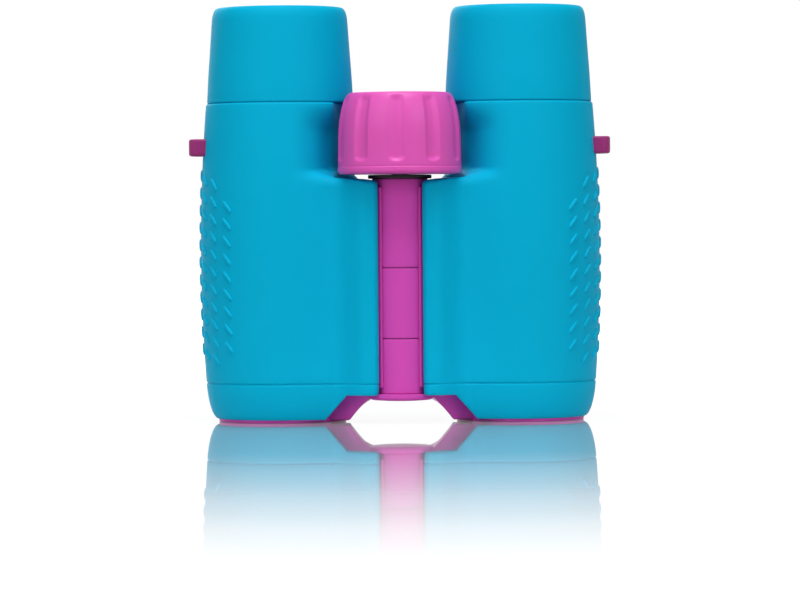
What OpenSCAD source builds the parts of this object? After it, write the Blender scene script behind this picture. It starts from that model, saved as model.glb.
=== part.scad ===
// Children's roof-prism binoculars, standing on their front rims with the eyecups up.
// +Z runs along the optical axes, -Y faces the side with the hinge and the focus knob.
// Paired pieces are drawn once for the right barrel, about the hinge axis, and mirrored for the left.

/* [Body] */
// Distance between the two optical axes as the barrels stand open
eye_spacing = 58.4; // [56:0.2:62]
// Distance of the hinge axis in front of the optical axes
hinge_forward = 13.5; // [12.5:0.1:15]
// Height from the front rims to the eyecup seam
body_h = 77.6; // [75:0.2:82]
// Radius of the armour at the belly of a barrel
belly_r = 19.75; // [19.4:0.05:20.6]
// Height of the belly above the front rims
belly_z = 40; // [34:1:46]
// Height of the front band, up to its seam
band_h = 9.4; // [8.8:0.1:10.5]
// How much narrower a barrel is at the lower seam than at its belly
seam_drop = 1.15; // [0.6:0.05:1.6]
// How much narrower the front band is at its foot than the belly
foot_drop = 4; // [3.2:0.05:4.3]
// Thickness of the armour at the lower seam
armour_wall = 1.6; // [1.2:0.1:2]

/* [Bridge] */
// Height of the lower edge of the wings
bridge_bottom = 6.8; // [6.4:0.1:7.4]
// Height of the top of the wings and of the hinge
bridge_top = 58.6; // [55:0.2:62]
// Thickness of the web between a barrel and the hinge
web_w = 9; // [8:0.2:10]
// Half the gap between the armour lips
lip_x = 6; // [5.4:0.1:6.6]
// Thickness of an armour lip at its edge
lip_wall = 0.95; // [0.7:0.05:1.4]
// Radius of the shallow curve across the front of a wing
wing_curve_r = 70; // [50:1:100]
// Rise of the wing's shoulder from the hinge to the barrel
shoulder_rise = 5; // [3:0.2:7]

/* [Hinge] */
// Radius of the hinge knuckles
knuckle_r = 6.8; // [6.4:0.1:7.2]
// Height of the lowest knuckle
bottom_knuckle_h = 13.1; // [12:0.1:14]
// Height of the middle knuckle
middle_knuckle_h = 16.6; // [15:0.1:18]
// Outer radius of the hinge tube
tube_r = 5; // [4.8:0.05:5.3]
// Wall of the hinge tube
tube_wall = 0.8; // [0.6:0.05:1]
// Half the width of the hinge strip between the flanges
strip_half = 4.6; // [4.2:0.1:5]
// Thickness of a hinge flange
flange_wall = 1.1; // [0.9:0.05:1.4]
// Height of the domed cap under the hinge
cap_h = 2.2; // [1.8:0.1:2.6]
// Thickness of the washer under the knob
washer_h = 0.9; // [0.7:0.05:1.2]
// How far the barrels fold back from the open position, in degrees
fold_in = 32; // [20:1:34]
// How far the barrels open past that position, in degrees
fold_out = 12; // [4:1:14]

/* [Focus] */
// Radius of the focus knob
knob_r = 15.05; // [14:0.05:15.6]
// Height of the focus knob
knob_h = 20.4; // [18:0.1:22]
// Number of flutes in the knob
knob_flutes = 10; // [8:1:12]
// Radius of a flute
flute_r = 2.6; // [2:0.1:3.2]
// Depth of a flute
flute_depth = 0.75; // [0.4:0.05:1]
// Height of the plain band under the flutes
knob_band = 4.2; // [3:0.1:6]
// Clearance between the knob and the armour
knob_clear = 0.8; // [0.5:0.05:1.2]
// Room between the knob and an eyecup
knob_room = 0.6; // [0.5:0.05:1]
// Radius of the focus spindle
spindle_r = 2; // [1.8:0.05:2.2]
// Width of a focus arm
arm_w = 4; // [3.4:0.1:4.4]
// Height of a focus arm
arm_h = 2.9; // [2.4:0.1:3.4]
// Travel of the objective cells each way
focus_travel = 1.5; // [1:0.1:1.8]

/* [Optics] */
// Wall of the hard barrel around its bore
core_wall = 4; // [3.6:0.05:4.6]
// Depth of the cap recess in a front rim
recess_h = 3.2; // [2.4:0.1:4]
// Height of an objective cell's front face at rest
cell_z = 7; // [6.4:0.1:7.6]
// Length of an objective cell
cell_len = 23; // [22:0.2:24]
// Wall of an objective cell at its lens
cell_wall = 2.05; // [1.8:0.05:2.4]
// Height of the prism housing's lower face
prism_z = 34; // [33.5:0.1:35]
// Length of the prism housing
prism_len = 22.9; // [20:0.1:23.5]
// Wall of the prism housing beside a prism
prism_side_wall = 5.94; // [5.4:0.02:7]
// Wall of the prism housing in front of and behind a prism
prism_end_wall = 5.44; // [5:0.02:6.5]
// Wall of the barrel's neck at an eyepiece
neck_wall = 3.1; // [2.8:0.05:3.6]
// Height of an eyepiece above the eyecup seam
eyepiece_rise = 13.9; // [13:0.1:15]
// Travel of the right eyepiece each way
diopter_travel = 0.6; // [0.4:0.05:0.8]

/* [Eyecups] */
// Height of an eyecup above its seam
eyecup_h = 23.6; // [22:0.1:26]
// Radius of an eyecup under its rounded rim
eyecup_top_r = 16.5; // [15.8:0.1:17]
// Radius of the rounding of an eyecup's rim
rim_round = 2.2; // [1.6:0.1:2.6]
// Wall of an eyecup at its rim
rim_wall = 3.1; // [2.8:0.1:3.6]

/* [Strap loops] */
// Distance of the strap loops below the eyecup seam
loop_drop = 10.5; // [8:0.1:13]
// Width of a strap loop
loop_w = 11; // [9:0.2:13]
// Height of a strap loop's bar
loop_h = 4.2; // [3.4:0.1:5]
// How far a strap loop stands out of the armour
loop_out = 3.4; // [3:0.05:3.8]
// Thickness of a strap loop's bar
loop_bar = 1.4; // [1.1:0.05:1.7]

/* [Fits] */
// Clearance of a running fit
run_gap = 0.06; // [0.03:0.01:0.08]
// Clearance of a piece that is fixed in its seat
fit_gap = 0.03; // [0.01:0.01:0.05]
// Gap between pieces that pass each other
part_gap = 0.3; // [0.25:0.05:0.5]
// Width of the grooves at the seams
seam_gap = 0.3; // [0.2:0.05:0.5]

/* [Hidden] */
$fn = 72;

BLUE = "#00a6cc";
PINK = "#d24cab";
BLACK = "#202125";
GLASS = "#c4e4ec";
STEEL = "#b9bdc3";
BRASS = "#c8a14c";

LEFT = -1;
RIGHT = 1;

// Overrun of every cut past the face that it opens
overrun = 2;
// Steps in which a curved outline is drawn
outline_steps = 10;
// Facets of the large balls that shape the lenses
lens_facets = 256;

// Places of the hinge and of the optical axes; the origin is under the middle of the whole part
dx = eye_spacing / 2;
dy = hinge_forward;
arm_len = sqrt(dx * dx + dy * dy);
arm_angle = atan2(dy, dx);
barrel_y = (hinge_forward + knob_r - belly_r) / 2;
hinge_y = barrel_y - hinge_forward;

// Hinge stack, from the cap up
cap_over = 1.1;
washer_over = 0.9;
hinge_gap = 0.5;
cap_lift = 0.3;
cap_spigot_h = 1.7;
hinge_bottom = bridge_bottom + cap_lift;
middle_z = hinge_bottom + bottom_knuckle_h + hinge_gap;
top_z = middle_z + middle_knuckle_h + hinge_gap;
hinge_top = bridge_top;
cap_r = knuckle_r + cap_over;
washer_r = knuckle_r + washer_over;
tube_bore_r = tube_r - tube_wall;
flange_in_r = knuckle_r + part_gap;
flange_out_r = flange_in_r + flange_wall;
knuckle_neck_w = web_w - 2 * part_gap;
knuckle_root_r = flange_in_r + flange_wall / 2;
skin_gap = 0.06;
armour_hinge_r = flange_out_r + skin_gap;
flange_lift = 1.6;
flange_drop = 1.6;

// Knob: a near upright side that rounds in towards the top
knob_lift = 0.4;
knob_lean = 0.3;
knob_round = 3;
knob_round_share = 0.44;
knob_chamfer = 0.5;
knob_wall = 2.6;
knob_roof = 5.6;
knob_boss_r = 6;
knob_cap_r = 8;
knob_cap_h = 1.5;
screw_head_r = 2.6;
screw_head_h = 1.8;
screw_r = 1.2;
screw_len = 8;
boss_floor = 1.8;
knob_z = hinge_top + washer_h + knob_lift;
knob_top = knob_z + knob_h;
knob_turn = -2.5;
scoop_r = knob_r + knob_clear;
spindle_top = knob_top - knob_cap_h - screw_head_h - boss_floor;
collar_h = 1.6;

function round_in(t) = 1 - sqrt(max(0, 1 - t * t));
function knob_side(h) =
    let (start = knob_round_share * knob_h, t = max(0, (h - start) / (knob_h - start)))
    knob_r - knob_lean * h / knob_h - knob_round * round_in(t);

// Barrel: the neck and the eyecup leave room for the knob
neck_step = 0.26;
scoop_wall = 1.2;
eyecup_z = body_h + seam_gap;
eyecup_base_r = arm_len - knob_side(eyecup_z - knob_z) - knob_room;
neck_r = eyecup_base_r + neck_step;
core_neck_r = arm_len - scoop_r - scoop_wall;
seam_r = belly_r - seam_drop;
foot_r = belly_r - foot_drop;
core_r = seam_r - armour_wall;
bore_r = core_r - core_wall;
foot_lip = 0.15;
foot_rise = 0.45;
foot_core_r = foot_r - foot_lip;
foot_core_h = 3;
core_shoulder_h = 5;
core_shoulder_drop = 0.8;
spigot_h = 6.4;
spigot_wall = 2;
band_lean = 0.5;
recess_step = 0.4;
recess_r = bore_r + recess_step;
neck_bore_r = core_neck_r - neck_wall;
spigot_r = neck_bore_r + spigot_wall;
bore_top = prism_z + prism_len + fit_gap;

function armour_side(z) = z >= belly_z
    ? belly_r - (belly_r - neck_r) * pow((z - belly_z) / (body_h - belly_z), 2)
    : belly_r - (belly_r - seam_r) * pow((belly_z - z) / (belly_z - band_h), 2);
function band_side(z) =
    let (t = (band_h - z) / (band_h - foot_rise))
    seam_r - band_lean * t - (seam_r - band_lean - foot_r) * round_in(t);

// Wing: shallow curve, valley and raised lip across the front, and a slanted back
wing_inset = 0.3;
valley_x = 13;
lip_w = 2.4;
back_lip = 3;
cut_low_x = 19.1;
cut_high_x = 13.1;
shoulder_share = 0.2;
web_drop = 0.7;
web_top_drop = 1.4;
gusset_s = 8.7;
gusset_low = 0.6;
wing_seat = seam_r - wing_inset;
lip_front = sqrt(pow(armour_hinge_r, 2) - pow(lip_x, 2)) + lip_wall;
lip_back = sqrt(pow(armour_hinge_r, 2) - pow(lip_x, 2)) + back_lip;

// Focus train inside the hinge
nut_end = 1.5;
nut_core = 1.2;
slot_gap = 0.3;
right_arm_rise = 4;
nut_r = tube_bore_r - run_gap;
groove_r = spindle_r + run_gap + nut_core;
left_arm_z = hinge_bottom + (bottom_knuckle_h - arm_h) / 2;
right_arm_z = middle_z + right_arm_rise;
notch_depth = 1.2;
cell_r = bore_r - run_gap;
arm_reach = arm_len - cell_r + notch_depth;
function arm_z(side) = side < 0 ? left_arm_z : right_arm_z;
function slot_z(side) = arm_z(side) - focus_travel - part_gap;
slot_h = arm_h + 2 * (focus_travel + part_gap);

// Objective cell, from the front up
cell_ring_h = 1.7;
cell_ring_w = 0.9;
lens_edge = 2.6;
lens_bulge = 0.9;
cell_step = 1.3;
cell_step_h = 2.4;
baffle_wall = 1.9;
lens_r = cell_r - cell_wall;
lens_z = cell_z + cell_ring_h + lens_bulge;
cell_seat_top = lens_z + lens_edge + lens_sag(lens_r - cell_step, lens_r, lens_bulge);

// Prism block and its screws
prism_gap = 0.4;
prism_end = 1.2;
prism_screw_r = 0.9;
prism_head_r = 1.7;
prism_head_h = 1.1;
prism_screw_in = 2.2;
prism_h = prism_len - 2 * prism_end;
housing_r = bore_r - run_gap;
prism_w = 2 * (housing_r - prism_side_wall);
prism_d = 2 * (housing_r - prism_end_wall);
penta_shares = [[0.5, 0], [-0.29, 0], [-0.5, 0.2], [-0.5, 0.86]];
roof_shares = [[0.5, 0.06], [0.5, 0.84], [0.38, 1], [-0.44, 1]];

// Eyepiece, from its lower end up
eyepiece_lift = 0.5;
stop_h = 1.6;
stop_in = 2.4;
field_edge = 2.2;
field_bulge = 1.05;
eye_edge = 2;
eye_bulge = 0.9;
eye_ring_h = 2.2;
eye_ring_w = 1.5;
tube_lip = 1.6;
tube_step = 1.1;
eyepiece_r = neck_bore_r - run_gap;
eyepiece_z = bore_top + diopter_travel + eyepiece_lift;
eyepiece_top = body_h + eyepiece_rise;
lens_seat_r = eyepiece_r - tube_lip;
field_z = eyepiece_z + stop_h + field_bulge;
field_top = field_z + field_edge + lens_sag(lens_seat_r - tube_step, lens_seat_r, field_bulge) + fit_gap;
eye_ring_z = eyepiece_top - eye_ring_h;
eye_lens_z = eye_ring_z - eye_bulge - eye_edge;
eye_seat_z = eye_lens_z - lens_sag(lens_seat_r - tube_step, lens_seat_r, eye_bulge) - fit_gap;

// Eyecup
cup_step = 0.9;
cup_lift = 1.05;
rim_chamfer = 0.6;
eyecup_top = body_h + eyecup_h;
cup_r = eyecup_top_r - rim_wall;

// Strap loop
loop_leg = 1.7;
loop_round = 1.6;
loop_z = body_h - loop_drop;
loop_reach = armour_side(loop_z) + loop_out;

module half(side) {
    if (side > 0) translate([0, hinge_y, 0]) children();
    else mirror([1, 0, 0]) translate([0, hinge_y, 0]) children();
}

module on_hinge() {
    translate([0, hinge_y, 0]) children();
}

module on_barrel() {
    translate([dx, dy, 0]) children();
}

// Along the line from the hinge axis to the optical axis
module along_arm() {
    rotate([0, 0, arm_angle]) children();
}

module rod(r, z0, z1) {
    translate([0, 0, z0]) cylinder(r = r, h = z1 - z0);
}

module tube(r, bore, z0, z1) {
    difference() {
        rod(r, z0, z1);
        rod(bore, z0 - overrun, z1 + overrun);
    }
}

module bar(x0, x1, w, z0, h) {
    translate([x0, -w / 2, z0]) cube([x1 - x0, w, h]);
}

// How far a bulging face of a lens stands out of its edge at radius r
function lens_sag(r, edge_r, bulge) =
    let (ball = (edge_r * edge_r + bulge * bulge) / (2 * bulge))
    bulge - ball + sqrt(ball * ball - r * r);

// Lens with two bulging faces and a straight edge
module lens(r, z0, edge, bulge) {
    ball = (r * r + bulge * bulge) / (2 * bulge);
    intersection() {
        rod(r, z0 - bulge - overrun, z0 + edge + bulge + overrun);
        translate([0, 0, z0 - bulge + ball]) sphere(r = ball, $fn = lens_facets);
        translate([0, 0, z0 + edge + bulge - ball]) sphere(r = ball, $fn = lens_facets);
    }
}

// Hard core of a barrel without its bore
module core(gap) {
    rotate_extrude()
        polygon([
            [0, 0],
            [foot_core_r + gap, 0],
            [foot_core_r + gap, foot_core_h],
            [core_r + gap, band_h],
            [core_r + gap, bridge_top - core_shoulder_drop - core_shoulder_h],
            [core_neck_r + gap, bridge_top - core_shoulder_drop],
            [core_neck_r + gap, body_h],
            [spigot_r + gap, body_h],
            [spigot_r + gap, body_h + spigot_h],
            [0, body_h + spigot_h]
        ]);
}

module web(gap) {
    z0 = bridge_bottom - web_drop;
    difference() {
        union() {
            along_arm() bar(0, arm_len, web_w + 2 * gap, z0, bridge_top - web_top_drop - z0 + gap);
            along_arm() translate([0, web_w / 2 + gap, 0]) rotate([90, 0, 0])
                linear_extrude(web_w + 2 * gap)
                    polygon([
                        [gusset_s, z0 + web_drop],
                        [gusset_s, z0],
                        [arm_len - foot_core_r, gusset_low],
                        [arm_len, gusset_low],
                        [arm_len, z0 + web_drop]
                    ]);
        }
        rod(flange_in_r, -overrun, bridge_top + overrun);
        rod(cap_r + part_gap, -overrun, hinge_bottom + part_gap);
    }
}

// Curved flange that wraps the knuckles behind the armour lip
module flange() {
    z0 = hinge_bottom + flange_lift;
    z1 = bridge_top - flange_drop;
    translate([0, 0, z0]) linear_extrude(z1 - z0) intersection() {
        difference() {
            circle(r = flange_out_r);
            circle(r = flange_in_r);
        }
        translate([strip_half, -flange_out_r]) square([flange_out_r, 2 * flange_out_r]);
    }
}

module knuckle(z0, z1) {
    translate([0, 0, z0]) linear_extrude(z1 - z0) {
        circle(r = knuckle_r);
        along_arm() intersection() {
            circle(r = knuckle_root_r);
            translate([0, -knuckle_neck_w / 2])
                square([knuckle_root_r + flange_wall, knuckle_neck_w]);
        }
    }
}

module prism_screw(gap) {
    r0 = housing_r - prism_screw_in;
    translate([0, 0, prism_z + prism_len / 2]) rotate([90, 0, 0]) {
        translate([0, 0, r0 - gap]) cylinder(r = prism_screw_r + gap, h = core_r - r0 - fit_gap);
        translate([0, 0, core_r - prism_head_h - gap])
            cylinder(r = prism_head_r + gap, h = prism_head_h - fit_gap + gap);
    }
}

module chassis(side, spans, bore_gap) {
    color(PINK) half(side) difference() {
        union() {
            on_barrel() core(0);
            web(0);
            flange();
            for (s = spans) knuckle(s[0], s[1]);
        }
        on_barrel() rod(recess_r, -overrun, recess_h);
        on_barrel() rod(bore_r, 0, bore_top);
        on_barrel() rod(neck_bore_r, 0, body_h + spigot_h + overrun);
        for (s = spans) rod(tube_r + bore_gap, s[0] - overrun, s[1] + overrun);
        along_arm() bar(0, arm_len, arm_w + 2 * slot_gap, slot_z(side), slot_h);
        on_barrel() for (turn = [0, 180]) rotate([0, 0, turn]) {
            prism_screw(fit_gap);
            translate([0, -core_r + prism_head_h, prism_z + prism_len / 2]) rotate([90, 0, 0])
                cylinder(r = prism_head_r + fit_gap, h = prism_head_h + overrun);
        }
    }
}

module left_chassis() {
    bottom = [hinge_bottom, hinge_bottom + bottom_knuckle_h];
    chassis(LEFT, [bottom, [top_z, hinge_top]], fit_gap);
}

module right_chassis() {
    chassis(RIGHT, [[middle_z, middle_z + middle_knuckle_h]], run_gap);
}

// Plan of a wing, about the hinge axis
module wing_plan() {
    sweep = asin((dx - valley_x) / wing_curve_r);
    front = [for (i = [0 : outline_steps]) let (a = sweep * i / outline_steps)
        [dx - wing_curve_r * sin(a), dy - wing_seat + wing_curve_r * (1 - cos(a))]];
    polygon(concat(
        [[dx, dy]],
        front,
        [
            [lip_x + lip_w, -lip_front],
            [lip_x, -lip_front],
            [lip_x, lip_back],
            [dx - wing_seat, dy]
        ]
    ));
}

// Front view of a wing, with the shoulder that rises towards the barrel
module wing_front() {
    polygon([
        [0, bridge_bottom],
        [dx, bridge_bottom],
        [dx, bridge_top + shoulder_rise],
        [valley_x, bridge_top + shoulder_share * shoulder_rise],
        [lip_x + lip_w, bridge_top],
        [0, bridge_top]
    ]);
}

module wing() {
    intersection() {
        linear_extrude(body_h) wing_plan();
        translate([0, dy + belly_r, 0]) rotate([90, 0, 0])
            linear_extrude(dy + belly_r + lip_front + overrun) wing_front();
    }
}

// Everything hard that the rubber is moulded round
module rubber_seat() {
    on_barrel() core(skin_gap);
    web(skin_gap);
    rod(armour_hinge_r, -overrun, body_h);
    rod(scoop_r, knob_z - knob_clear, body_h + overrun);
}

module strap_loop_form(gap) {
    on_barrel() difference() {
        translate([0, 0, loop_z - loop_h / 2 - gap]) linear_extrude(loop_h + 2 * gap)
            difference() {
                union() {
                    translate([0, -loop_w / 2 - gap])
                        square([loop_reach - loop_round, loop_w + 2 * gap]);
                    translate([0, -loop_w / 2 + loop_round])
                        square([loop_reach, loop_w - 2 * loop_round]);
                    for (y = [-1, 1])
                        translate([loop_reach - loop_round, y * (loop_w / 2 - loop_round)])
                            circle(r = loop_round + gap);
                }
                translate([0, -loop_w / 2 + loop_leg + gap])
                    square([loop_reach - loop_bar - gap, loop_w - 2 * (loop_leg + gap)]);
            }
        core(skin_gap - gap);
    }
}

module armour(side) {
    z0 = band_h + seam_gap;
    color(BLUE) half(side) difference() {
        union() {
            on_barrel() rotate_extrude() polygon(concat(
                [[0, z0]],
                [for (i = [0 : outline_steps]) let (z = z0 + (body_h - z0) * i / outline_steps)
                    [armour_side(z), z]],
                [[0, body_h]]
            ));
            wing();
        }
        rubber_seat();
        translate([0, -arm_len, -overrun]) cube([2 * arm_len, 2 * arm_len, z0 + overrun]);
        strap_loop_form(fit_gap);
    }
}

module band(side) {
    color(BLUE) half(side) difference() {
        union() {
            on_barrel() rotate_extrude() polygon(concat(
                [[0, foot_rise]],
                [for (i = [0 : outline_steps])
                    let (z = foot_rise + (band_h - foot_rise) * pow(i / outline_steps, 2))
                    [band_side(z), z]],
                [[0, band_h]]
            ));
            wing();
        }
        rubber_seat();
        translate([0, -arm_len, band_h]) cube([2 * arm_len, 2 * arm_len, body_h]);
        translate([0, 2 * arm_len, 0]) rotate([90, 0, 0]) linear_extrude(3 * arm_len)
            polygon([
                [0, -overrun],
                [cut_low_x, -overrun],
                [cut_low_x, 0],
                [cut_high_x, bridge_bottom],
                [0, bridge_bottom]
            ]);
    }
}

module left_armour() { armour(LEFT); }
module right_armour() { armour(RIGHT); }
module left_band() { band(LEFT); }
module right_band() { band(RIGHT); }

module eyecup(side) {
    r0 = eyecup_top_r - rim_round;
    z0 = eyecup_top - rim_round;
    sleeve_r = eyepiece_r + run_gap;
    color(BLUE) half(side) on_barrel() rotate_extrude() polygon(concat(
        [
            [spigot_r + run_gap, eyecup_z],
            [eyecup_base_r, eyecup_z]
        ],
        [for (i = [0 : outline_steps]) let (a = 90 * i / outline_steps)
            [r0 + rim_round * cos(a), z0 + rim_round * sin(a)]],
        [
            [cup_r + rim_chamfer, eyecup_top],
            [cup_r, eyecup_top - rim_chamfer],
            [sleeve_r + cup_step, eyepiece_top + cup_lift],
            [sleeve_r, eyepiece_top + cup_lift],
            [sleeve_r, body_h + spigot_h + run_gap],
            [spigot_r + run_gap, body_h + spigot_h + run_gap]
        ]
    ));
}

module left_eyecup() { eyecup(LEFT); }
module right_eyecup() { eyecup(RIGHT); }

module left_strap_loop() { color(PINK) half(LEFT) strap_loop_form(0); }
module right_strap_loop() { color(PINK) half(RIGHT) strap_loop_form(0); }

module eyepiece_tube(side) {
    color(BLACK) half(side) on_barrel() difference() {
        rod(eyepiece_r, eyepiece_z, eyepiece_top);
        rod(lens_seat_r + fit_gap, eyepiece_z - overrun, field_top);
        rod(lens_seat_r - tube_step, eyepiece_z, eyepiece_top);
        rod(lens_seat_r + fit_gap, eye_seat_z, eyepiece_top + overrun);
    }
}

module left_eyepiece_tube() { eyepiece_tube(LEFT); }
module right_eyepiece_tube() { eyepiece_tube(RIGHT); }

module eye_lens(side) {
    color(GLASS) half(side) on_barrel() lens(lens_seat_r, eye_lens_z, eye_edge, eye_bulge);
}

module left_eye_lens() { eye_lens(LEFT); }
module right_eye_lens() { eye_lens(RIGHT); }

module eyepiece_ring(side) {
    bore = lens_seat_r - eye_ring_w;
    z0 = eye_lens_z + eye_edge + lens_sag(bore, lens_seat_r, eye_bulge) + fit_gap;
    color(BLACK) half(side) on_barrel() tube(lens_seat_r, bore, z0, eyepiece_top - fit_gap);
}

module left_eyepiece_ring() { eyepiece_ring(LEFT); }
module right_eyepiece_ring() { eyepiece_ring(RIGHT); }

module field_lens(side) {
    color(GLASS) half(side) on_barrel() lens(lens_seat_r, field_z, field_edge, field_bulge);
}

module left_field_lens() { field_lens(LEFT); }
module right_field_lens() { field_lens(RIGHT); }

module field_stop(side) {
    bore = lens_seat_r - stop_in;
    z1 = field_z - lens_sag(bore, lens_seat_r, field_bulge) - fit_gap;
    color(BLACK) half(side) on_barrel() tube(lens_seat_r, bore, eyepiece_z, z1);
}

module left_field_stop() { field_stop(LEFT); }
module right_field_stop() { field_stop(RIGHT); }

module prism_housing(side) {
    color(BLACK) half(side) on_barrel() difference() {
        rod(housing_r, prism_z, prism_z + prism_len);
        translate([-prism_w / 2 - fit_gap, -prism_d / 2 - fit_gap, prism_z - overrun])
            cube([prism_w + 2 * fit_gap, prism_d + 2 * fit_gap, prism_len + 2 * overrun]);
        for (turn = [0, 180]) rotate([0, 0, turn]) prism_screw(fit_gap);
    }
}

module left_prism_housing() { prism_housing(LEFT); }
module right_prism_housing() { prism_housing(RIGHT); }

// Prism of the given side view, as wide as the housing's pocket
module prism(side, shares, lift) {
    color(GLASS) half(side) on_barrel()
        translate([-prism_w / 2, 0, prism_z + prism_end + lift]) rotate([90, 0, 90])
            linear_extrude(prism_w)
                polygon([for (p = shares) [p[0] * prism_d, p[1] * (prism_h - prism_gap)]]);
}

module left_roof_prism() { prism(LEFT, roof_shares, prism_gap); }
module right_roof_prism() { prism(RIGHT, roof_shares, prism_gap); }
module left_half_penta_prism() { prism(LEFT, penta_shares, 0); }
module right_half_penta_prism() { prism(RIGHT, penta_shares, 0); }

module prism_screws(side) {
    color(STEEL) half(side) on_barrel()
        for (turn = [0, 180]) rotate([0, 0, turn]) prism_screw(0);
}

module left_prism_screws() { prism_screws(LEFT); }
module right_prism_screws() { prism_screws(RIGHT); }

module objective_cell(side) {
    notch_h = arm_h + 2 * fit_gap;
    color(BLACK) half(side) difference() {
        on_barrel() difference() {
            rod(cell_r, cell_z, cell_z + cell_len);
            rod(lens_r + fit_gap, cell_z - overrun, cell_seat_top);
            rod(lens_r - cell_step, cell_z, cell_z + cell_len);
            rod(cell_r - baffle_wall, cell_seat_top + cell_step_h, cell_z + cell_len + overrun);
        }
        along_arm() bar(0, arm_reach + fit_gap, arm_w + 2 * fit_gap, arm_z(side) - fit_gap, notch_h);
    }
}

module left_objective_cell() { objective_cell(LEFT); }
module right_objective_cell() { objective_cell(RIGHT); }

module objective_lens(side) {
    color(GLASS) half(side) on_barrel() lens(lens_r, lens_z, lens_edge - fit_gap, lens_bulge);
}

module left_objective_lens() { objective_lens(LEFT); }
module right_objective_lens() { objective_lens(RIGHT); }

module objective_ring(side) {
    bore = lens_r - cell_ring_w;
    z1 = lens_z - lens_sag(bore, lens_r, lens_bulge) - fit_gap;
    color(BLACK) half(side) on_barrel() tube(lens_r, bore, cell_z, z1);
}

module left_objective_ring() { objective_ring(LEFT); }
module right_objective_ring() { objective_ring(RIGHT); }

// Fork that straddles a groove of the focus nut, with an arm that reaches the objective cell
module focus_arm(side) {
    fork_r = groove_r + run_gap;
    color(STEEL) half(side) along_arm() translate([0, 0, arm_z(side)]) linear_extrude(arm_h)
        difference() {
            union() {
                circle(r = nut_r);
                translate([0, -arm_w / 2]) square([arm_reach, arm_w]);
            }
            circle(r = fork_r);
            translate([-nut_r - overrun, -fork_r]) square([nut_r + overrun, 2 * fork_r]);
        }
}

module left_focus_arm() { focus_arm(LEFT); }
module right_focus_arm() { focus_arm(RIGHT); }

// Window in the hinge tube for an arm that swings between two directions
module arm_window(side, from, to) {
    reach = 2 * tube_r;
    spread = asin((arm_w / 2 + slot_gap) / tube_bore_r);
    steps = 6;
    translate([0, 0, slot_z(side)]) linear_extrude(slot_h)
        polygon(concat(
            [[0, 0]],
            [for (i = [0 : steps])
                let (a = from - spread + (to - from + 2 * spread) * i / steps)
                [reach * cos(a), reach * sin(a)]]
        ));
}

module hinge_tube() {
    color(STEEL) on_hinge() difference() {
        tube(tube_r, tube_bore_r, hinge_bottom, hinge_top);
        arm_window(LEFT, 180 - arm_angle, 180 - arm_angle);
        arm_window(RIGHT, arm_angle - fold_out, arm_angle + fold_in);
    }
}

module hinge_cap() {
    ball = (cap_r * cap_r + cap_h * cap_h) / (2 * cap_h);
    color(PINK) on_hinge() {
        rod(tube_bore_r - fit_gap, hinge_bottom - cap_h / 2, hinge_bottom + cap_spigot_h);
        intersection() {
            rod(cap_r, hinge_bottom - cap_h, hinge_bottom);
            translate([0, 0, hinge_bottom - cap_h + ball]) sphere(r = ball + cap_h / 4);
        }
    }
}

module hinge_washers() {
    color(BLACK) on_hinge()
        for (z = [middle_z, top_z])
            tube(knuckle_r - part_gap, tube_r + fit_gap, z - hinge_gap + run_gap, z - run_gap);
}

module focus_washer() {
    color(BLACK) on_hinge()
        tube(washer_r, spindle_r + run_gap, hinge_top, hinge_top + washer_h);
}

module focus_knob() {
    tilt = atan2(knob_lean + knob_round * round_in(0.5), knob_h);
    boss_z = hinge_top + washer_h + run_gap;
    head_z = knob_top - knob_cap_h - screw_head_h;
    color(PINK) on_hinge() rotate([0, 0, knob_turn]) difference() {
        union() {
            rotate_extrude() polygon(concat(
                [[0, knob_z], [knob_r - knob_chamfer, knob_z], [knob_r, knob_z + knob_chamfer]],
                [for (i = [2 : 2 * outline_steps])
                    let (h = knob_h * sin(90 * i / (2 * outline_steps)))
                    [knob_side(h), knob_z + h]],
                [[0, knob_top]]
            ));
            rod(knob_boss_r, boss_z, knob_top - knob_roof);
        }
        difference() {
            rod(knob_r - knob_wall, knob_z - overrun, knob_top - knob_roof);
            rod(knob_boss_r, boss_z, knob_top - knob_roof);
        }
        rod(spindle_r + fit_gap, boss_z - overrun, spindle_top + fit_gap);
        rod(screw_r + run_gap, boss_z, knob_top);
        rod(screw_head_r + part_gap, head_z, knob_top);
        rod(knob_cap_r + fit_gap, knob_top - knob_cap_h, knob_top + overrun);
        for (i = [0 : knob_flutes - 1])
            rotate([0, 0, -90 + 360 * i / knob_flutes])
                translate([knob_r + flute_r - flute_depth, 0, knob_z + knob_band])
                    rotate([0, -tilt, 0]) {
                        sphere(r = flute_r);
                        cylinder(r = flute_r, h = knob_h);
                    }
    }
}

module knob_cap() {
    color(PINK) on_hinge() rod(knob_cap_r, knob_top - knob_cap_h, knob_top);
}

module knob_screw() {
    head_z = knob_top - knob_cap_h - screw_head_h;
    color(STEEL) on_hinge() {
        rod(screw_head_r, head_z, head_z + screw_head_h - fit_gap);
        rod(screw_r, head_z - screw_len, head_z);
    }
}

module focus_spindle() {
    head_z = knob_top - knob_cap_h - screw_head_h;
    color(BRASS) on_hinge() difference() {
        union() {
            rod(spindle_r, hinge_bottom + cap_spigot_h + part_gap, spindle_top);
            rod(nut_r, hinge_top - run_gap - collar_h, hinge_top - run_gap);
        }
        rod(screw_r + fit_gap, head_z - screw_len - fit_gap, knob_top);
    }
}

module focus_nut() {
    z0 = left_arm_z - nut_end;
    z1 = right_arm_z + arm_h + nut_end;
    color(BRASS) on_hinge() difference() {
        tube(nut_r, spindle_r + run_gap, z0, z1);
        for (side = [LEFT, RIGHT])
            tube(nut_r + overrun, groove_r, arm_z(side) - run_gap, arm_z(side) + arm_h + run_gap);
    }
}

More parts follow.
